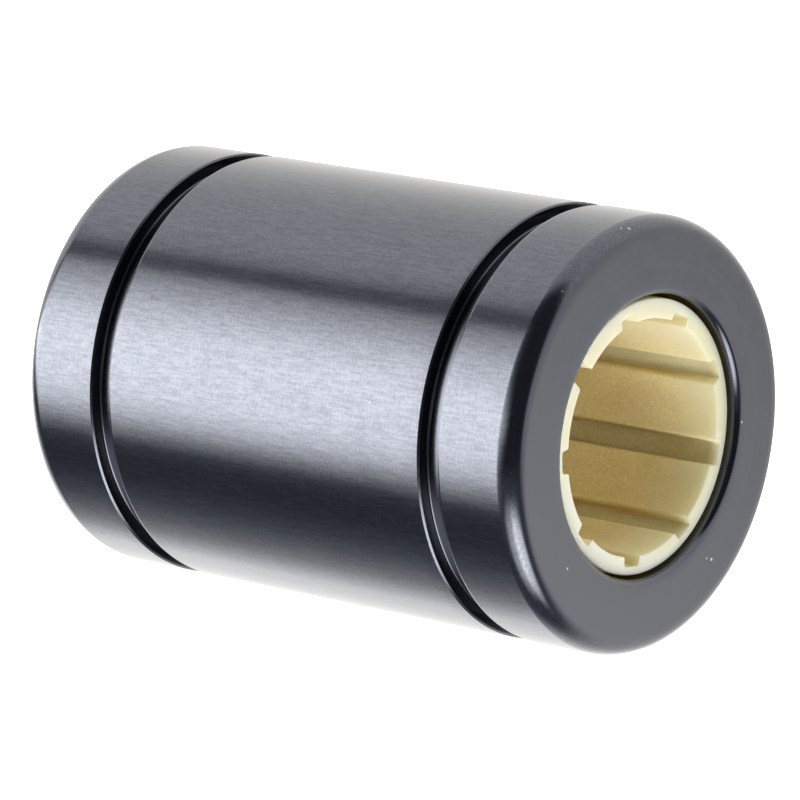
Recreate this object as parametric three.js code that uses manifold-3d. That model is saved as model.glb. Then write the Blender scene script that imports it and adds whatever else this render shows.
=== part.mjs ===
// Plain linear bushing for a 12 mm shaft: an anodised aluminium sleeve with a
// replaceable one-piece polymer liner snapped into its bore.
//
// Units are millimetres, +Z is up. The bushing axis lies along +X, the front
// end is at +X, and the origin is on the axis at mid-length.
import * as THREE from 'three';
import { mergeVertices } from 'three/addons/utils/BufferGeometryUtils.js';
import Module from 'manifold-3d';

const wasm = await Module();
wasm.setup();

// ---------------------------------------------------------------- dimensions
const SEGMENTS = 72; // facets around the axis, 5 degrees each

// Sleeve
const SLEEVE_R = 11;
const SLEEVE_HALF = 16; // half of the 32 mm length
const END_ROUND = 1; // rounded outer edge at both ends
const END_ROUND_STEPS = 5;
const SEAT_R = 7; // bore that holds the liner
const COUNTERBORE_R = 7.14; // bore at the two ends
const COUNTERBORE_DEPTH = 1.7; // measured from the end face
const MOUTH_ROUND = 0.36; // rounding from the end face into the bore
const MOUTH_ROUND_STEPS = 2;
const MOUTH_R = COUNTERBORE_R + MOUTH_ROUND; // bore mouth at the end face

// Two external ring grooves, for 1.2 mm retaining rings
const RING_WIDTH = 1.22;
const RING_INNER_WALL = 10.12; // from mid-length
const RING_OUTER_WALL = RING_INNER_WALL + RING_WIDTH;
const RING_FLOOR_R = 10.28;
const RING_CHAMFER = 0.09; // 45 degree break on the rear edge
const RING_BREAK_LENGTH = 0.1; // shallow break on the front edge
const RING_BREAK_DEPTH = 0.02;
const RING_FILLET = 0.11; // at the two floor corners
const RING_FILLET_STEPS = 1;

// Liner
const LINER_SETBACK = 0.5; // from each end face of the sleeve
const LINER_HALF = SLEEVE_HALF - LINER_SETBACK;
const LINER_CLEARANCE = 0.05; // radial, to its seat
const LINER_R = SEAT_R - LINER_CLEARANCE;
const RIM_ROUND = 0.12; // rounded outer edge at both ends
const RIM_ROUND_STEPS = 2;
const PAD_R = 6.04; // 12 mm shaft with running clearance
const PAD_LEAD_LENGTH = 0.1; // lead-in at both ends of the pads
const PAD_LEAD_DEPTH = 0.035;

// Lengthwise grooves between the liner's pads
const GROOVE_COUNT = 9;
const GROOVE_FLOOR_R = 6.54; // leaves a wall of 0.41 mm
const GROOVE_MOUTH_WIDTH = 1.27; // at the pad radius
const GROOVE_FLOOR_WIDTH = 1.15;
const GROOVE_FIRST_ANGLE = 101.9; // degrees from +Y towards +Z
const SLIT_GROOVE = 1; // counted from 0; this one is cut right through, so
                       // that the liner can be squeezed for fitting
const CUTTER_INNER_R = 5.2; // the cutters start inside the bore
const CUTTER_OVERRUN = 1; // past the liner's ends, and outwards at the slit

// ------------------------------------------------------------------- helpers
// Profile points hold the radius in x and the place along the axis in y.
function point(radius, along) {
  return new THREE.Vector2(radius, along);
}

// An arc in the profile plane: 0 degrees is outward, 90 is towards the front.
function arc(centreRadius, centreAlong, size, fromDeg, toDeg, steps) {
  const points = [];
  for (let i = 0; i <= steps; i++) {
    const angle = THREE.MathUtils.degToRad(fromDeg + ((toDeg - fromDeg) * i) / steps);
    points.push(point(
      centreRadius + size * Math.cos(angle),
      centreAlong + size * Math.sin(angle),
    ));
  }
  return points;
}

// Joins coincident vertices, so that the surface is closed.
function weld(geometry) {
  const loose = geometry.index ? geometry.toNonIndexed() : geometry.clone();
  loose.deleteAttribute('normal');
  loose.deleteAttribute('uv');
  return mergeVertices(loose, 1e-5);
}

// A solid of revolution about +X; the profile is closed here.
function revolve(profile) {
  const geometry = new THREE.LatheGeometry([...profile, profile[0].clone()], SEGMENTS);
  geometry.rotateZ(-Math.PI / 2);
  return weld(geometry);
}

// A prism along the axis from a closed outline given as [radial, sideways]
// pairs, turned to stand at an angle measured from +Y towards +Z.
function axialPrism(outline, halfLength, angleDeg) {
  const shape = new THREE.Shape(outline.map((pair) => new THREE.Vector2(...pair)));
  const geometry = new THREE.ExtrudeGeometry(shape, {
    depth: 2 * halfLength,
    bevelEnabled: false,
  });
  geometry.translate(0, 0, -halfLength);
  // local x (radial) to +Y, local y (sideways) to +Z, local z (length) to +X
  geometry.applyMatrix4(new THREE.Matrix4().makeBasis(
    new THREE.Vector3(0, 1, 0),
    new THREE.Vector3(0, 0, 1),
    new THREE.Vector3(1, 0, 0),
  ));
  geometry.rotateX(THREE.MathUtils.degToRad(angleDeg));
  return weld(geometry);
}

function toSolid(geometry) {
  return new wasm.Manifold(new wasm.Mesh({
    numProp: 3,
    vertProperties: new Float32Array(geometry.attributes.position.array),
    triVerts: new Uint32Array(geometry.index.array),
  }));
}

function toGeometry(solid) {
  const { vertProperties, triVerts } = solid.getMesh();
  const geometry = new THREE.BufferGeometry();
  const positions = new THREE.BufferAttribute(new Float32Array(vertProperties), 3);
  geometry.setAttribute('position', positions);
  geometry.setIndex(new THREE.BufferAttribute(new Uint32Array(triVerts), 1));
  return geometry;
}

function namedMesh(name, geometry, material) {
  const mesh = new THREE.Mesh(geometry, material);
  mesh.name = name;
  return mesh;
}

// ----------------------------------------------------------------- materials
function anodisedAluminium() {
  return new THREE.MeshStandardMaterial({ color: 0x3b3e44, roughness: 0.34, metalness: 0.85 });
}

function creamPolymer() {
  return new THREE.MeshStandardMaterial({ color: 0xefe2b2, roughness: 0.55, metalness: 0 });
}

// -------------------------------------------------------------------- sleeve
// A ring groove between two walls, walked from rear to front along the outside.
function ringGroove(rearWall, frontWall) {
  const filletR = RING_FLOOR_R + RING_FILLET;
  return [
    point(SLEEVE_R, rearWall - RING_CHAMFER),
    point(SLEEVE_R - RING_CHAMFER, rearWall),
    ...arc(filletR, rearWall + RING_FILLET, RING_FILLET, 270, 180, RING_FILLET_STEPS),
    ...arc(filletR, frontWall - RING_FILLET, RING_FILLET, 180, 90, RING_FILLET_STEPS),
    point(SLEEVE_R - RING_BREAK_DEPTH, frontWall),
    point(SLEEVE_R, frontWall + RING_BREAK_LENGTH),
  ];
}

function outerSleeve() {
  const endRoundR = SLEEVE_R - END_ROUND;
  const endRoundAlong = SLEEVE_HALF - END_ROUND;
  const mouthAlong = SLEEVE_HALF - MOUTH_ROUND;
  const counterboreEnd = SLEEVE_HALF - COUNTERBORE_DEPTH;
  // 45 degree step from the counterbore down to the seat
  const seatHalf = counterboreEnd - (COUNTERBORE_R - SEAT_R);

  const profile = [
    // rear outer edge, then forward along the outside
    ...arc(endRoundR, -endRoundAlong, END_ROUND, -90, 0, END_ROUND_STEPS),
    ...ringGroove(-RING_OUTER_WALL, -RING_INNER_WALL),
    ...ringGroove(RING_INNER_WALL, RING_OUTER_WALL),
    ...arc(endRoundR, endRoundAlong, END_ROUND, 0, 90, END_ROUND_STEPS),
    // front mouth, then back along the bore
    ...arc(MOUTH_R, mouthAlong, MOUTH_ROUND, 90, 180, MOUTH_ROUND_STEPS),
    point(COUNTERBORE_R, counterboreEnd),
    point(SEAT_R, seatHalf),
    point(SEAT_R, -seatHalf),
    point(COUNTERBORE_R, -counterboreEnd),
    ...arc(MOUTH_R, -mouthAlong, MOUTH_ROUND, 180, 270, MOUTH_ROUND_STEPS),
  ];
  return namedMesh('outer_sleeve', revolve(profile), anodisedAluminium());
}

// --------------------------------------------------------------------- liner
function linerTube() {
  const rimR = LINER_R - RIM_ROUND;
  const rimAlong = LINER_HALF - RIM_ROUND;
  return revolve([
    ...arc(rimR, -rimAlong, RIM_ROUND, -90, 0, RIM_ROUND_STEPS),
    ...arc(rimR, rimAlong, RIM_ROUND, 0, 90, RIM_ROUND_STEPS),
    point(PAD_R + PAD_LEAD_DEPTH, LINER_HALF),
    point(PAD_R, LINER_HALF - PAD_LEAD_LENGTH),
    point(PAD_R, -LINER_HALF + PAD_LEAD_LENGTH),
    point(PAD_R + PAD_LEAD_DEPTH, -LINER_HALF),
  ]);
}

// A wedge with straight flanks. A groove's floor peaks at the floor radius;
// the slit carries on outwards at the floor width.
function cutterOutline(isSlit) {
  const floorHalf = GROOVE_FLOOR_WIDTH / 2;
  const mouthHalf = GROOVE_MOUTH_WIDTH / 2;
  const flankSlope = (mouthHalf - floorHalf) / (GROOVE_FLOOR_R - PAD_R);
  const innerHalf = mouthHalf + flankSlope * (PAD_R - CUTTER_INNER_R);
  const floorEdge = Math.sqrt(GROOVE_FLOOR_R ** 2 - floorHalf ** 2);
  const slitReach = LINER_R + CUTTER_OVERRUN;
  const outerEnd = isSlit
    ? [[slitReach, -floorHalf], [slitReach, floorHalf]]
    : [[GROOVE_FLOOR_R, 0]];
  return [
    [CUTTER_INNER_R, -innerHalf],
    [floorEdge, -floorHalf],
    ...outerEnd,
    [floorEdge, floorHalf],
    [CUTTER_INNER_R, innerHalf],
  ];
}

function polymerLiner() {
  let liner = toSolid(linerTube());
  for (let i = 0; i < GROOVE_COUNT; i++) {
    const outline = cutterOutline(i === SLIT_GROOVE);
    const angle = GROOVE_FIRST_ANGLE + (i * 360) / GROOVE_COUNT;
    const cutter = axialPrism(outline, LINER_HALF + CUTTER_OVERRUN, angle);
    liner = liner.subtract(toSolid(cutter));
  }
  return namedMesh('polymer_liner', toGeometry(liner), creamPolymer());
}

// ------------------------------------------------------------------ assembly
const bushing = new THREE.Group();
bushing.name = 'linear_bushing';
bushing.add(outerSleeve(), polymerLiner());

export default bushing;
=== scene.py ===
"""A plain linear bushing: a grooved aluminium sleeve around a slit polymer liner.

The shared axis lies along X with its middle at the origin, Y runs sideways and Z up.
Profiles and material coordinates are in millimetres, meshes in metres.
Angles around the axis are counted from +Y towards +Z.
"""

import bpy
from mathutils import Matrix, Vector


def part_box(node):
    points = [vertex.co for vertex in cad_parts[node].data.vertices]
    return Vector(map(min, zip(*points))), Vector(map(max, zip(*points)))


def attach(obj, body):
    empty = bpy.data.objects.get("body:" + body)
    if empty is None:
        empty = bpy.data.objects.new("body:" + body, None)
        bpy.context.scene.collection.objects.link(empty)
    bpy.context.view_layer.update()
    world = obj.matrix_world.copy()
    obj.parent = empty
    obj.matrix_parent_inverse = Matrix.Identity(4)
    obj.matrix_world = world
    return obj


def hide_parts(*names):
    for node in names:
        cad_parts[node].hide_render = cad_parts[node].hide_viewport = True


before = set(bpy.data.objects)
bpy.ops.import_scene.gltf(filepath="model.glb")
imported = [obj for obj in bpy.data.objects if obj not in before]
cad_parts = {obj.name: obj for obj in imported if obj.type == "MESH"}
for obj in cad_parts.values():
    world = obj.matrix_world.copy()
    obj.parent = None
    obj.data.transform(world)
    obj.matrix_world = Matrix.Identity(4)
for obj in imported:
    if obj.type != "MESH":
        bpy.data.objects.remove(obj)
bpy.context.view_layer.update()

import math

import bpy
import numpy as np
from mathutils import Matrix, Vector

MM = 0.001
sleeve_lo, sleeve_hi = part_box("outer_sleeve")
liner_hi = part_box("polymer_liner")[1]

# Sleeve, mm
SLEEVE_HALF = sleeve_hi[0] / MM             # half length
SLEEVE_R = sleeve_hi[2] / MM                # outer radius
END_ROUND = 1.0                             # length of the rounded outer end edges
FACE_R = 7.85                               # inner point of the flat end face
MOUTH_ROUND = 0.36                          # fillet from the end face into the counterbore
COUNTERBORE_R, COUNTERBORE_DEPTH = 7.14, 1.7
BORE_R = 7.0
RING_IN, RING_OUT = 10.12, 11.34            # distances of a ring groove's walls from the middle
RING_FLOOR_R = 10.28
SLEEVE_SEGMENTS = 372

# Liner, mm
LINER_HALF = liner_hi[0] / MM               # half length
LINER_R = 6.95                              # outer radius
PAD_R, GROOVE_R = 6.04, 6.54                # glide pads and groove floors
MOUTH_WIDTH, FLOOR_WIDTH = 1.27, 1.15       # groove widths at those two radii
MOUTH_SOFT, FLOOR_FILLET = 0.08, 0.1        # groove corner roundings
GROOVES = 9                                 # one of them is the slit
PITCH = math.radians(360 / GROOVES)
SLIT_ANGLE = math.radians(141.9)
PAD_STEPS, FLOOR_STEPS = 26, 6


# -------------------------------------------------------------- mesh helpers
def rounded(corners, steps):
    """Closed (radius, x) profile from (radius, x, fillet) corners."""
    points = []
    for i, (radius, x, fillet) in enumerate(corners):
        if fillet <= 0:
            points.append((radius, x))
            continue
        corner = np.array((radius, x))
        before = np.array(corners[i - 1][:2]) - corner
        after = np.array(corners[(i + 1) % len(corners)][:2]) - corner
        before_length, after_length = np.linalg.norm(before), np.linalg.norm(after)
        before, after = before / before_length, after / after_length
        half_angle = math.acos(max(-1, min(1, float(before @ after)))) / 2
        # a fillet takes up less than half of either neighbouring side
        cut = min(fillet / math.tan(half_angle), 0.49 * before_length, 0.49 * after_length)
        arc_radius = cut * math.tan(half_angle)
        bisector = (before + after) / np.linalg.norm(before + after)
        centre = corner + bisector * arc_radius / math.sin(half_angle)
        start, end = (math.atan2(*(corner + side * cut - centre)[::-1])
                      for side in (before, after))
        sweep = (end - start + math.pi) % (2 * math.pi) - math.pi
        for k in range(steps + 1):
            angle = start + sweep * k / steps
            points.append((centre[0] + arc_radius * math.cos(angle),
                           centre[1] + arc_radius * math.sin(angle)))
    return points


def subdivided(profile, longest):
    """Splits long straight runs of a closed profile, so that the mesh stays even."""
    points = []
    for i, start in enumerate(profile):
        end = profile[(i + 1) % len(profile)]
        points.append(start)
        cuts = int(math.dist(start, end) // longest)
        for j in range(1, cuts + 1):
            t = j / (cuts + 1)
            points.append((start[0] + (end[0] - start[0]) * t,
                           start[1] + (end[1] - start[1]) * t))
    return points


def tube_point(x, radius, angle):
    return (x * MM, radius * math.cos(angle) * MM, radius * math.sin(angle) * MM)


def add_object(name, mesh):
    obj = bpy.data.objects.new(name, mesh)
    bpy.context.collection.objects.link(obj)
    return obj


def smooth_object(name, verts, faces, sharp_degrees):
    """Smooth-shaded object from faces that are wound inwards."""
    mesh = bpy.data.meshes.new(name)
    mesh.from_pydata(verts, [], faces)
    mesh.validate()
    mesh.update()
    for poly in mesh.polygons:
        poly.use_smooth = True
    mesh.set_sharp_from_angle(angle=math.radians(sharp_degrees))
    mesh.flip_normals()
    return add_object(name, mesh)


# ---------------------------------------------------------------- the sleeve
def ring_groove(rear, front):
    """Corners of a groove in the outside between two x places, walked towards +X."""
    rear_break, front_drop, front_run = 0.085, 0.02, 0.1
    edge_fillet, floor_fillet, front_fillet = 0.015, 0.11, 0.04
    return [(SLEEVE_R, rear - rear_break, edge_fillet),
            (SLEEVE_R - rear_break, rear, edge_fillet),
            (RING_FLOOR_R, rear, floor_fillet),
            (RING_FLOOR_R, front, floor_fillet),
            (SLEEVE_R - front_drop, front, edge_fillet),
            (SLEEVE_R, front + front_run, front_fillet)]


def end_round(sign):
    """Rounded outer edge of an end: a cubic curve that leaves the land with a slight break."""
    tilt = math.radians(9.0)
    handle = 0.61
    steps = 20
    start = (SLEEVE_R, SLEEVE_HALF - END_ROUND)
    end = (SLEEVE_R - END_ROUND - 0.02, SLEEVE_HALF)
    controls = (start,
                (start[0] - handle * math.sin(tilt), start[1] + handle * math.cos(tilt)),
                (end[0] + handle, SLEEVE_HALF),
                end)
    # two points on the land and one on the end face hold the shading beside the curve
    run = [(SLEEVE_R, start[1] - 0.15), (SLEEVE_R, start[1] - 0.025)]
    for k in range(steps + 1):
        t = k / steps
        weights = ((1 - t) ** 3, 3 * t * (1 - t) ** 2, 3 * t * t * (1 - t), t ** 3)
        run.append(tuple(sum(weight * point[i] for weight, point in zip(weights, controls))
                         for i in (0, 1)))
    run.append((end[0] - 0.06, SLEEVE_HALF))
    return [(radius, x * sign, 0) for radius, x in run][::sign]


def sleeve_profile():
    """Outside from -X to +X, then back through the bore."""
    seat = SLEEVE_HALF - COUNTERBORE_DEPTH
    seat_end = seat - (COUNTERBORE_R - BORE_R)
    seat_fillet = 0.03
    corners = [
        (FACE_R, -SLEEVE_HALF, 0),
        *end_round(-1),
        *ring_groove(-RING_OUT, -RING_IN),
        *ring_groove(RING_IN, RING_OUT),
        *end_round(1),
        (FACE_R, SLEEVE_HALF, 0),
        (COUNTERBORE_R, SLEEVE_HALF, MOUTH_ROUND),
        (COUNTERBORE_R, seat, seat_fillet),
        (BORE_R, seat_end, seat_fillet),
        (BORE_R, -seat_end, seat_fillet),
        (COUNTERBORE_R, -seat, seat_fillet),
        (COUNTERBORE_R, -SLEEVE_HALF, MOUTH_ROUND)]
    return subdivided(rounded(corners, steps=8), longest=1.1)


def build_sleeve():
    profile = sleeve_profile()
    count = len(profile)
    verts, faces = [], []
    for i in range(SLEEVE_SEGMENTS):
        angle = 2 * math.pi * i / SLEEVE_SEGMENTS
        verts += [tube_point(x, radius, angle) for radius, x in profile]
        this, following = i * count, (i + 1) % SLEEVE_SEGMENTS * count
        for k in range(count):
            after = (k + 1) % count
            faces.append((this + k, this + after, following + after, following + k))
    return smooth_object("sleeve_surface", verts, faces, sharp_degrees=28)


# ----------------------------------------------------------------- the liner
def pad_lead(x):
    """Least bore radius along the axis: a soft lead-in at both ends."""
    length, rise = 0.10, 0.035
    t = max(0.0, 1 - (LINER_HALF - abs(x)) / length)
    return PAD_R + rise * t * t


def outer_rim(x):
    """Outer radius along the axis, rounded at both ends."""
    rim = 0.07
    inset = LINER_HALF - abs(x)
    if inset >= rim:
        return LINER_R
    return LINER_R - rim + math.sqrt(max(0.0, rim * rim - (rim - inset) ** 2))


def groove_side(radius):
    """Half width of a groove at a radius."""
    slope = (MOUTH_WIDTH - FLOOR_WIDTH) / 2 / (GROOVE_R - PAD_R)
    return MOUTH_WIDTH / 2 - slope * (radius - PAD_R)


def side_point(side, radius):
    """(angle, radius) of a point this far to the side of a groove's middle."""
    return math.asin(side / radius), radius


def mouth_corner():
    """Rounded corner from a pad into a groove."""
    points = []
    for k in range(4):
        t = math.pi / 2 * k / 3
        points.append(side_point(groove_side(PAD_R) + MOUTH_SOFT * (1 - math.sin(t)),
                                 PAD_R + MOUTH_SOFT * (1 - math.cos(t))))
    return points


def groove_flank():
    """One flank of a groove, from its mouth to its floor."""
    points = mouth_corner()
    start = PAD_R + MOUTH_SOFT
    for k in range(1, 4):
        radius = start + (GROOVE_R - PAD_R - 0.11 - MOUTH_SOFT) * k / 3
        points.append(side_point(groove_side(radius), radius))
    for k in range(1, 5):
        t = math.pi / 2 * k / 4
        points.append(side_point(groove_side(GROOVE_R) - FLOOR_FILLET * (1 - math.cos(t)),
                                 GROOVE_R - FLOOR_FILLET * (1 - math.sin(t))))
    return points


def slit_flank():
    """One flank of the slit, from its mouth outwards; it has no floor."""
    return mouth_corner() + [side_point(groove_side(min(radius, GROOVE_R)), radius)
                             for radius in (6.25, 6.4, 6.62)]


def bore_outline():
    """(angle, radius) points once round the bore, from one side of the slit to the other."""
    def flank_in(centre, flank_shade):
        return [(centre - angle, radius) for angle, radius in flank_shade]

    def flank_out(centre, flank_shade):
        return [(centre + angle, radius) for angle, radius in reversed(flank_shade)]

    pad_edge = math.asin((groove_side(PAD_R) + MOUTH_SOFT) / PAD_R)
    floor_edge = math.asin((FLOOR_WIDTH / 2 - FLOOR_FILLET) / GROOVE_R)
    outline = flank_out(SLIT_ANGLE, slit_flank())
    for i in range(1, GROOVES + 1):
        centre = SLIT_ANGLE + PITCH * i
        start, end = centre - PITCH + pad_edge, centre - pad_edge
        outline += [(start + (end - start) * k / PAD_STEPS, PAD_R)
                    for k in range(1, PAD_STEPS)]
        if i < GROOVES:
            outline += flank_in(centre, groove_flank())
            outline += [(centre - floor_edge + 2 * floor_edge * k / FLOOR_STEPS, GROOVE_R)
                        for k in range(1, FLOOR_STEPS)]
            outline += flank_out(centre, groove_flank())
        else:
            outline += flank_in(centre, slit_flank())
    return outline


def outside_angles(bore_angles):
    """The bore's angles, evened out and never running back, so the end quads stay clean."""
    window = 9
    ordered = np.maximum.accumulate(bore_angles)
    padded = np.pad(ordered, window // 2, mode="edge")
    evened = np.maximum.accumulate(np.convolve(padded, np.ones(window) / window, "valid"))
    edge = math.asin(FLOOR_WIDTH / 2 / LINER_R)
    start, end = SLIT_ANGLE + edge, SLIT_ANGLE + 2 * math.pi - edge
    evened = start + (evened - evened[0]) * (end - start) / (evened[-1] - evened[0])
    return evened + np.linspace(0, 1e-6, len(evened))


def spring_in(angle):
    """How far the liner's free end springs in next to the slit, mm."""
    depth, begins, length = 0.185, 116, 66      # mm, then degrees back from the slit
    turn = (angle - SLIT_ANGLE) % (2 * math.pi)
    back = math.degrees(2 * math.pi - turn)
    t = min(1.0, max(0.0, (begins - back) / length))
    return depth * t * t * (3 - 2 * t)


def liner_stations():
    """x places of the cross-sections, closer together towards the ends."""
    insets = (0, 0.004, 0.012, 0.025, 0.04, 0.06, 0.08, 0.1, 0.16, 0.3, 0.6, 1.0)
    half = [round(LINER_HALF - inset, 4) for inset in insets]
    half += list(np.linspace(0, LINER_HALF - 1.6, 14))
    return sorted(set([-x for x in half] + half))


def build_liner():
    outline = bore_outline()
    count = len(outline)
    angles, radii = np.array(outline).T
    outer_angles = outside_angles(angles)
    spring = np.array([spring_in(angle) for angle in outer_angles])
    outer_spring = spring * 0.35
    stations = liner_stations()
    verts, faces = [], []
    for x in stations:
        inside = np.maximum(radii, pad_lead(x)) - spring
        outside = outer_rim(x) - outer_spring
        for row_angles, row_radii in ((angles, inside), (outer_angles, outside)):
            verts += [tube_point(x, radius, angle)
                      for angle, radius in zip(row_angles, row_radii)]
    # each station holds a bore row and then an outside row
    row = 2 * count
    for i in range(len(stations) - 1):
        bore, bore_next = i * row, (i + 1) * row
        outer, outer_next = bore + count, bore_next + count
        for k in range(count - 1):
            faces.append((bore + k, bore + k + 1, bore_next + k + 1, bore_next + k))
            faces.append((outer + k, outer_next + k, outer_next + k + 1, outer + k + 1))
        # slit walls
        faces.append((bore, bore_next, outer_next, outer))
        faces.append((outer - 1, bore + row - 1, bore_next + row - 1, outer_next - 1))
    # end faces
    last = (len(stations) - 1) * row
    for k in range(count - 1):
        faces.append((k, count + k, count + k + 1, k + 1))
        faces.append((last + k, last + k + 1, last + count + k + 1, last + count + k))
    return smooth_object("liner_surface", verts, faces, sharp_degrees=40)


# -------------------------------------------------------------- node helpers
class Nodes:
    """Short calls for filling a node tree; values are numbers or output sockets."""

    def __init__(self, tree):
        self.tree = tree
        tree.nodes.clear()

    def add(self, kind, **settings):
        node = self.tree.nodes.new(kind)
        for name, value in settings.items():
            setattr(node, name, value)
        return node

    def put(self, socket, value):
        if hasattr(value, "is_output"):
            self.tree.links.new(value, socket)
        else:
            socket.default_value = value

    def math(self, operation, first, second=0.0):
        node = self.add("ShaderNodeMath", operation=operation)
        for socket, value in zip(node.inputs, (first, second, 0.0)):
            self.put(socket, value)
        return node.outputs[0]

    def plus(self, first, second):
        return self.math("ADD", first, second)

    def minus(self, first, second):
        return self.math("SUBTRACT", first, second)

    def times(self, first, second):
        return self.math("MULTIPLY", first, second)

    def weighted(self, first, *others):
        """Sum of (value, weight) pairs."""
        total = self.times(*first)
        for pair in others:
            total = self.plus(total, self.times(*pair))
        return total

    def vector(self, *parts):
        node = self.add("ShaderNodeCombineXYZ")
        for socket, value in zip(node.inputs, parts):
            self.put(socket, value)
        return node.outputs[0]

    def split(self, vector):
        node = self.add("ShaderNodeSeparateXYZ")
        self.put(node.inputs[0], vector)
        return node.outputs

    def against(self, operation, vector, fixed):
        """DISTANCE or DOT_PRODUCT of a vector with a fixed one."""
        node = self.add("ShaderNodeVectorMath", operation=operation)
        self.put(node.inputs[0], vector)
        node.inputs[1].default_value = fixed
        return node.outputs["Value"]

    def noise(self, vector, scale, detail=2.0, rough=0.5):
        node = self.add("ShaderNodeTexNoise")
        self.put(node.inputs["Vector"], vector)
        node.inputs["Scale"].default_value = scale
        node.inputs["Detail"].default_value = detail
        node.inputs["Roughness"].default_value = rough
        return node.outputs["Fac"]

    def fade(self, value, span, to=(0.0, 1.0), smooth=True):
        """Carries a value from one span to another, held at both ends."""
        node = self.add("ShaderNodeMapRange")
        node.interpolation_type = "SMOOTHSTEP" if smooth else "LINEAR"
        self.put(node.inputs["Value"], value)
        for name, limit in zip(("From Min", "From Max", "To Min", "To Max"), (*span, *to)):
            node.inputs[name].default_value = limit
        return node.outputs["Result"]

    def mix(self, floor_shade_amount, base, top):
        """Colour mix."""
        node = self.add("ShaderNodeMix", data_type="RGBA")
        self.put(node.inputs[0], floor_shade_amount)
        for i, colour in ((6, base), (7, top)):
            self.put(node.inputs[i],
                     colour if hasattr(colour, "is_output") else (*colour, 1.0))
        return node.outputs[2]

    def mix_value(self, floor_shade_amount, base, top):
        node = self.add("ShaderNodeMix", data_type="FLOAT")
        for i, value in ((0, floor_shade_amount), (2, base), (3, top)):
            self.put(node.inputs[i], value)
        return node.outputs[0]

    def place(self):
        """The object point in mm, and its distance from the axis."""
        coord = self.add("ShaderNodeTexCoord").outputs["Object"]
        scaled = self.add("ShaderNodeVectorMath", operation="SCALE")
        self.put(scaled.inputs[0], coord)
        scaled.inputs["Scale"].default_value = 1 / MM
        point = scaled.outputs[0]
        x, y, z = self.split(point)
        radius = self.math("SQRT", self.plus(self.times(y, y), self.times(z, z)))
        return point, x, y, z, radius

    def relief(self, bsdf, height):
        """Bumps the surface by a height in mm."""
        bump = self.add("ShaderNodeBump")
        bump.inputs["Strength"].default_value = 1.0
        bump.inputs["Distance"].default_value = MM
        self.put(bump.inputs["Height"], height)
        self.put(bsdf.inputs["Normal"], bump.outputs[0])


def new_material(name):
    material = bpy.data.materials.new(name)
    material.use_nodes = True
    nodes = Nodes(material.node_tree)
    output = nodes.add("ShaderNodeOutputMaterial")
    bsdf = nodes.add("ShaderNodeBsdfPrincipled")
    nodes.put(output.inputs[0], bsdf.outputs[0])
    return material, nodes, bsdf


# ----------------------------------------------------------------- materials
# Single dust specks: (x, y, z) and size, mm
DUST = [((16.0, 5.06, -7.16), 0.075), ((16.0, 4.64, -7.03), 0.05),
        ((16.0, -6.71, -5.34), 0.06), ((16.0, 7.49, -0.53), 0.06),
        ((15.62, -1.50, 10.68), 0.07), ((15.44, -1.89, 10.73), 0.05),
        ((15.72, 9.49, 4.94), 0.05), ((15.64, -6.78, 8.37), 0.05)]
# painted light: weights of y and z for colour made lighter towards -Y and -Z
PAINTED_LIGHT_LEAN = (-0.064, -0.077)             # weights of y and z: grows towards -Y and -Z


def dust(nodes, point):
    """1 on scattered small specks and on the listed ones, 0 elsewhere."""
    cells = nodes.add("ShaderNodeTexVoronoi")
    nodes.put(cells.inputs["Vector"], point)
    cells.inputs["Scale"].default_value = 0.55
    speck_size, cell_threshold, raggedness = 0.016, 0.6, 0.16
    speck = nodes.math("LESS_THAN", cells.outputs["Distance"], speck_size)
    chosen = nodes.math("GREATER_THAN", nodes.split(cells.outputs["Color"])[0], cell_threshold)
    speck = nodes.times(speck, chosen)
    ragged = nodes.times(nodes.minus(nodes.noise(point, scale=14.0, detail=1.0), 0.5), raggedness)
    for spot, size in DUST:
        distance = nodes.plus(nodes.against("DISTANCE", point, spot), ragged)
        speck = nodes.math("MAXIMUM", speck, nodes.math("LESS_THAN", distance, size))
    return speck


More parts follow.
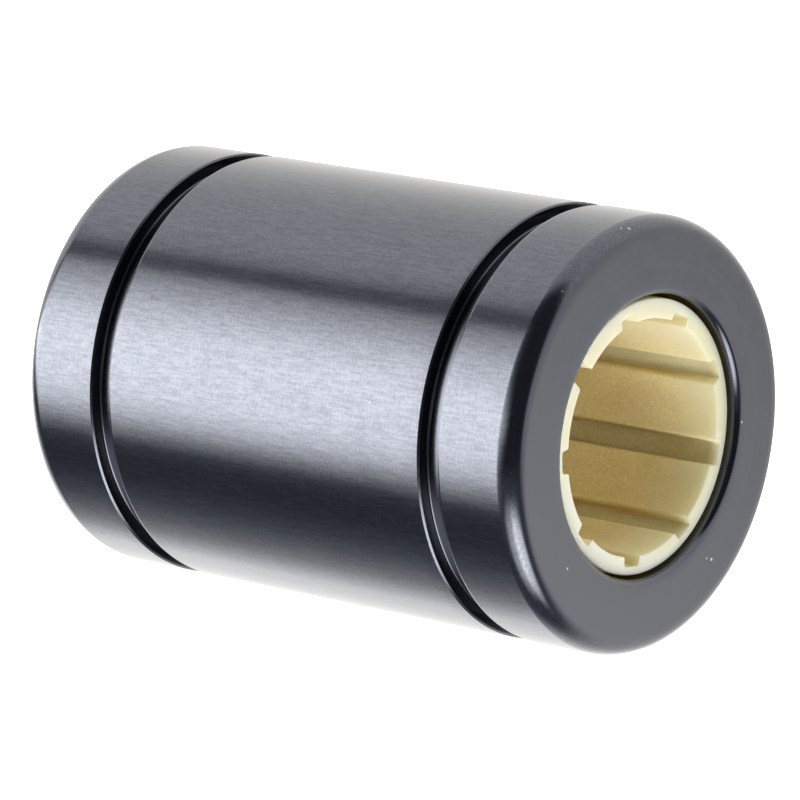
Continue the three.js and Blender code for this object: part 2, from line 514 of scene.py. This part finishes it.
def anodised_aluminium():
    material, nodes, bsdf = new_material("anodised_aluminium")
    point, x, y, z, radius = nodes.place()
    from_middle = nodes.math("ABSOLUTE", x)

    def lengthwise(squeeze, **settings):
        return nodes.noise(nodes.vector(nodes.times(x, squeeze), y, z), **settings)

    def crosswise(squeeze, **settings):
        return nodes.noise(
            nodes.vector(x, nodes.times(y, squeeze), nodes.times(z, squeeze)), **settings)

    # the brushed land and end edges, against the turned faces
    land = nodes.times(nodes.fade(radius, span=(10.93, 10.985)),
                       nodes.fade(from_middle, span=(15.2, 15.0)))
    edges = nodes.times(nodes.fade(radius, span=(10.3, 10.7)),
                        nodes.fade(from_middle, span=(14.8, 15.1)))
    brushed = nodes.math("MAXIMUM", land, edges)
    bore = nodes.fade(radius, span=(7.175, 7.145))

    # lengthwise brushing in three sizes, and fainter marks that run around
    fine = lengthwise(0.075, scale=15.0, rough=0.6)
    medium = lengthwise(0.12, scale=5.5, rough=0.6)
    broad = lengthwise(0.25, scale=0.55)
    grain = crosswise(0.35, scale=13.0, detail=1.0)
    around = crosswise(0.02, scale=9.0, rough=0.6)
    streak = nodes.weighted((fine, 0.65), (medium, 0.35))
    # turning rings and mottling of the end faces
    rings = nodes.noise(nodes.vector(radius, 0.0, 0.0), scale=2.6, detail=3.0, rough=0.6)
    mottle = nodes.noise(point, scale=1.1, detail=3.0, rough=0.55)

    tone = nodes.weighted((streak, 0.62), (around, 0.08), (grain, 0.30))
    outside = nodes.mix(nodes.fade(tone, span=(0.36, 0.64)),
                        base=(0.080, 0.0845, 0.097), top=(0.120, 0.126, 0.143))
    speckle = nodes.noise(point, scale=7.0, rough=0.6)
    tone = nodes.weighted((rings, 0.4), (mottle, 0.3), (speckle, 0.3))
    face = nodes.mix(nodes.fade(tone, span=(0.38, 0.62)),
                     base=(0.071, 0.0755, 0.088), top=(0.082, 0.0865, 0.101))
    # painted light: the turned face's colour is made lighter towards -Y and -Z, where it catches
    # a little more light
    painted_light_lean = nodes.weighted((y, PAINTED_LIGHT_LEAN[0]), (z, PAINTED_LIGHT_LEAN[1]))
    face = nodes.mix(nodes.fade(painted_light_lean, span=(-0.9, 0.9), smooth=False),
                     face, top=(0.101, 0.107, 0.123))
    # the bore carries the anodising as it grew, duller than the turned faces
    face = nodes.mix(bore, face, top=(0.094, 0.100, 0.128))
    colour = nodes.mix(brushed, face, outside)
    colour = nodes.mix(dust(nodes, point), colour, top=(0.42, 0.42, 0.415))
    nodes.put(bsdf.inputs["Base Color"], colour)
    bsdf.inputs["Metallic"].default_value = 1.0

    # roughness: least value plus what the patterns add; smoother at the mouth
    rough_outside = nodes.plus(nodes.plus(0.09, nodes.times(broad, 0.05)),
                               nodes.times(streak, 0.05))
    rough_face = nodes.plus(0.165, nodes.times(mottle, 0.06))
    mouth = nodes.fade(radius, span=(7.54, 7.47))
    rough_face = nodes.mix_value(mouth, rough_face, top=0.11)
    rough_face = nodes.mix_value(bore, rough_face, top=0.27)
    nodes.put(bsdf.inputs["Roughness"], nodes.mix_value(brushed, rough_face, rough_outside))

    # pattern heights in mm
    nodes.relief(bsdf, nodes.mix_value(
        brushed,
        base=nodes.weighted((rings, 0.0012), (mottle, 0.0006)),
        top=nodes.weighted((streak, 0.0009), (around, 0.0002))))
    return material


def bearing_polymer():
    material, nodes, bsdf = new_material("bearing_polymer")
    point, x, y, z, radius = nodes.place()
    from_middle = nodes.math("ABSOLUTE", x)
    grain = nodes.noise(point, scale=5.5, detail=3.0, rough=0.6)
    cloud = nodes.noise(nodes.vector(nodes.times(x, 0.6), y, z), scale=0.8)
    speckle = nodes.noise(point, scale=9.0, rough=0.6)
    tone = nodes.weighted((grain, 0.4), (cloud, 0.25), (speckle, 0.35))

    pad = nodes.mix(nodes.fade(tone, span=(0.36, 0.64)),
                    base=(0.775, 0.632, 0.315), top=(0.92, 0.793, 0.468))
    # painted light: the pads are paler towards +Z
    pad = nodes.mix(nodes.fade(z, span=(2.4, 4.4), to=(0.0, 0.42)),
                    pad, top=(0.935, 0.88, 0.64))
    # painted shade: the groove flanks get darker towards the floor
    flank_shade = nodes.times(nodes.fade(radius, span=(6.06, 6.40), to=(0.0, 0.75)),
                        nodes.fade(radius, span=(6.42, 6.49), to=(1.0, 0.0)))
    pad = nodes.mix(flank_shade, pad, top=(0.52, 0.39, 0.155))

    # painted shade on the groove floors: strongest between z = -3.4 and -0.5, lighter and greener
    # towards +Z where more light falls, varied by a noise tone
    groove = nodes.fade(radius, span=(6.42, 6.5))
    floor_shade_amount = nodes.mix_value(nodes.fade(z, span=(-0.5, 2.0)),
                             base=nodes.fade(z, span=(-5.2, -3.4), to=(0.38, 0.76)),
                             top=0.56)
    floor_shade = nodes.mix(nodes.fade(z, span=(0.0, 2.2)),
                     base=(0.38, 0.322, 0.143), top=(0.53, 0.54, 0.365))
    floor_shade = nodes.mix(nodes.fade(tone, span=(0.36, 0.64), to=(0.0, 0.34)),
                     floor_shade, top=(0.64, 0.59, 0.36))
    inside = nodes.mix(nodes.times(groove, floor_shade_amount), pad, floor_shade)

    # painted light: paler towards the ends, where light comes in through the mouth, less so in
    # the grooves, and again at the lip
    end_light = nodes.times(nodes.fade(from_middle, span=(11.5, 15.9)),
                       nodes.minus(1.0, nodes.times(groove, 0.68)))
    end_light_colour = nodes.mix(nodes.fade(z, span=(0.0, 4.5)),
                            base=(1.0, 0.885, 0.575), top=(0.895, 0.81, 0.57))
    inside = nodes.mix(end_light, inside, end_light_colour)
    lip_light = nodes.times(nodes.fade(from_middle, span=(14.75, 15.42)),
                      nodes.fade(z, span=(-1.0, 2.0), to=(0.95, 0.42)))
    inside = nodes.mix(lip_light, inside, top=(0.98, 0.905, 0.64))

    # end faces: painted shade darker towards +Y, and painted light palest towards -Y and -Z
    face = nodes.mix(nodes.fade(radius, span=(6.25, 6.75)),
                     base=(0.92, 0.83, 0.58), top=(1.0, 0.94, 0.68))
    face = nodes.mix(nodes.fade(y, span=(1.5, 6.8), to=(0.0, 0.9)),
                     face, top=(0.86, 0.80, 0.545))
    painted_light_lean = nodes.weighted((y, PAINTED_LIGHT_LEAN[0]), (z, PAINTED_LIGHT_LEAN[1]))
    face = nodes.mix(nodes.fade(painted_light_lean, span=(0.25, 0.62), to=(0.0, 0.8)),
                     face, top=(1.0, 0.975, 0.74))
    at_end = nodes.fade(from_middle, span=(15.42, 15.49))
    nodes.put(bsdf.inputs["Base Color"], nodes.mix(at_end, inside, face))

    # roughness: least value plus what the grain adds
    nodes.put(bsdf.inputs["Roughness"], nodes.plus(0.42, nodes.times(grain, 0.16)))
    bsdf.inputs["IOR"].default_value = 1.5
    bsdf.inputs["Subsurface Weight"].default_value = 0.72
    bsdf.inputs["Subsurface Radius"].default_value = (1.0, 0.85, 0.5)
    bsdf.inputs["Subsurface Scale"].default_value = 0.0013
    grain_height = 0.006
    nodes.relief(bsdf, nodes.times(grain, grain_height))
    return material


def floor_material():
    material, nodes, bsdf = new_material("studio_floor")
    coord = nodes.add("ShaderNodeTexCoord").outputs["Object"]
    colour = nodes.mix(nodes.noise(coord, scale=900.0),
                       base=(0.90, 0.90, 0.90), top=(0.93, 0.93, 0.93))
    nodes.put(bsdf.inputs["Base Color"], colour)
    bsdf.inputs["Roughness"].default_value = 0.9
    bsdf.inputs["Specular IOR Level"].default_value = 0.0
    bsdf.inputs["Emission Color"].default_value = (1.0, 1.0, 1.0, 1.0)
    bsdf.inputs["Emission Strength"].default_value = 0.93
    return material


# -------------------------------------------------------------------- studio
# Brightness of the -X side of the studio: degrees around the axis, level
AROUND = [
    (0, 1.1), (20, 1.27), (44, 1.38), (60, 1.46), (92, 1.66), (101, 1.56), (108, 1.25),
    (112.5, 0.5), (119, 0.5), (123.5, 1.8), (132, 2.95), (142, 4.35), (156, 6.2), (166, 6.6),
    (180, 6.5), (190, 6.15), (198, 4.9), (205, 3.1), (212, 1.3), (218.5, 0.3), (228, 0.2),
    (240, 0.22), (254, 0.4), (268, 0.75), (278, 1.1), (288, 1.75), (298, 2.2), (310, 1.75),
    (322, 1.45), (336, 1.2), (350, 1.1)]
AROUND_UNIT = 6.5                   # level that the colour ramp holds as 1


def build_floor():
    """Bright floor just under the sleeve, seen by the camera only."""
    half, gap = 3.0, 0.00001
    z = sleeve_lo[2] - gap
    mesh = bpy.data.meshes.new("studio_floor")
    mesh.from_pydata([(-half, -half, z), (half, -half, z), (half, half, z), (-half, half, z)],
                     [], [(0, 1, 2, 3)])
    floor = add_object("studio_floor", mesh)
    mesh.materials.append(floor_material())
    floor.visible_glossy = False
    floor.visible_diffuse = False
    floor.visible_transmission = False
    floor.visible_shadow = False


def around_level(nodes, y, z):
    """Level of the -X side, read from the table by the angle around the axis."""
    angle = nodes.math("ARCTAN2", z, y)
    turn = nodes.math("DIVIDE", angle, 2 * math.pi)
    turn = nodes.math("MODULO", nodes.plus(turn, 1.0), 1.0)
    ramp = nodes.add("ShaderNodeValToRGB")
    stops = ramp.color_ramp.elements
    grey = [(level / AROUND_UNIT,) * 3 + (1,) for _, level in AROUND]
    stops[0].color = stops[1].color = grey[0]
    for (degrees, _), colour in zip(AROUND[1:], grey[1:]):
        stops.new(degrees / 360).color = colour
    nodes.put(ramp.inputs[0], turn)
    return nodes.times(nodes.split(ramp.outputs[0])[0], AROUND_UNIT)


def plus_x_level(nodes, x, y, z):
    """Level of the +X side: a pale backdrop towards +Y, dark towards -Y."""
    back = nodes.plus(nodes.times(x, -0.18), nodes.plus(y, nodes.times(z, 0.14)))
    upper = nodes.plus(nodes.fade(back, span=(-0.14, 0.12), to=(0.10, 1.15)),
                       nodes.fade(back, span=(0.1, 0.8), to=(0.0, 0.25)))
    low = nodes.minus(y, nodes.plus(0.25, nodes.times(x, 0.3)))
    lower = nodes.fade(low, span=(-0.22, 0.28), to=(0.27, 1.6))
    return nodes.mix_value(nodes.fade(z, span=(-0.33, -0.14)), lower, upper)


def disc(nodes, direction, centre, full, gone, level):
    """Soft round light: full level and none at these degrees from its centre."""
    cosine = nodes.against("DOT_PRODUCT", direction, Vector(centre).normalized())
    return nodes.fade(cosine, to=(0.0, level),
                      span=(math.cos(math.radians(gone)), math.cos(math.radians(full))))


def build_world():
    world = bpy.data.worlds.new("studio")
    bpy.context.scene.world = world
    world.use_nodes = True
    nodes = Nodes(world.node_tree)
    output = nodes.add("ShaderNodeOutputWorld")
    background = nodes.add("ShaderNodeBackground")
    nodes.put(output.inputs[0], background.outputs[0])
    direction = nodes.add("ShaderNodeTexCoord").outputs["Generated"]
    x, y, z = nodes.split(direction)
    minus_x = around_level(nodes, y, z)
    plus_x = plus_x_level(nodes, x, y, z)

    # soft reflector low towards -Y, in two parts
    low_card = nodes.plus(
        nodes.times(disc(nodes, direction, centre=(0.64, -0.39, -0.66),
                         full=9, gone=32, level=4.7),
                    nodes.fade(z, span=(-0.36, -0.60))),
        nodes.times(disc(nodes, direction, centre=(0.22, -0.60, -0.77),
                         full=4, gone=30, level=2.3),
                    nodes.fade(x, span=(-0.24, 0.04))))

    # the change from the -X side to the +X side, steeper away from z = 0.18
    steepness = nodes.fade(nodes.math("ABSOLUTE", nodes.minus(z, 0.18)),
                           span=(0.06, 0.45), to=(1.8, 4.6), smooth=False)
    side = nodes.math("POWER", nodes.fade(x, span=(-0.62, 0.30), to=(1.0, 0.0), smooth=False),
                      steepness)
    level = nodes.mix_value(nodes.minus(1.0, side), minus_x, plus_x)
    level = nodes.plus(level, low_card)

    # darker band around z = -0.22, towards +Y
    horizon = nodes.fade(nodes.math("ABSOLUTE", nodes.plus(z, 0.22)), span=(0.22, 0.06))
    horizon = nodes.times(horizon, nodes.fade(y, span=(0.68, 0.82)))
    horizon = nodes.times(horizon, nodes.times(nodes.fade(x, span=(-0.70, -0.56)),
                                               nodes.fade(x, span=(0.35, 0.05))))
    level = nodes.times(level, nodes.minus(1.0, nodes.times(horizon, 0.42)))

    # cool where dark, warm towards +Y
    warmth = 1.0
    tint = nodes.mix(nodes.fade(level, span=(0.15, 1.0)),
                     base=(0.79, 0.88, 1.07), top=(1.0, 1.0, 1.0))
    warm = nodes.times(nodes.fade(y, span=(0.35, 0.8)), warmth)
    tint = nodes.mix(warm, tint, top=(1.03, 1.01, 0.965))

    # the camera itself sees plain white
    seen = nodes.add("ShaderNodeLightPath").outputs["Is Camera Ray"]
    nodes.put(background.inputs["Color"], nodes.mix(seen, tint, top=(1.0, 1.0, 1.0)))
    nodes.put(background.inputs["Strength"], nodes.mix_value(seen, level, top=1.0))
    world.cycles.sampling_method = "MANUAL"
    world.cycles.sample_map_resolution = 1024


def build_camera():
    """Camera posed by how it sees the bushing, as (right, down, forward) vectors."""
    x_axis = np.array([0.7713, 0.1383, -0.6213])
    z_axis = np.array([0.0, -0.9761, -0.2173])
    middle = np.array([0.0451, -0.3784, 300.0294]) * MM
    x_axis /= np.linalg.norm(x_axis)
    z_axis -= (z_axis @ x_axis) * x_axis
    z_axis /= np.linalg.norm(z_axis)
    to_camera = np.stack([x_axis, np.cross(z_axis, x_axis), z_axis], axis=1)
    right, down, forward = to_camera
    position = -to_camera.T @ middle

    data = bpy.data.cameras.new("camera")
    data.sensor_width = 36.0
    data.lens = 264.95775
    data.shift_x, data.shift_y = -0.000625, 0.000625
    data.clip_start, data.clip_end = 0.01, 20.0
    camera = add_object("camera", data)
    camera.matrix_world = Matrix(
        [[right[i], -down[i], -forward[i], position[i]] for i in range(3)] + [[0, 0, 0, 1]])
    scene = bpy.context.scene
    scene.camera = camera
    scene.view_settings.view_transform = "Standard"
    scene.view_settings.look = "None"


# ------------------------------------------------------------------ assembly
sleeve = build_sleeve()
liner = build_liner()
sleeve.data.materials.append(anodised_aluminium())
liner.data.materials.append(bearing_polymer())

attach(sleeve, "sleeve")
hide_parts("outer_sleeve")
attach(liner, "liner")
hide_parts("polymer_liner")

build_floor()
build_world()
build_camera()
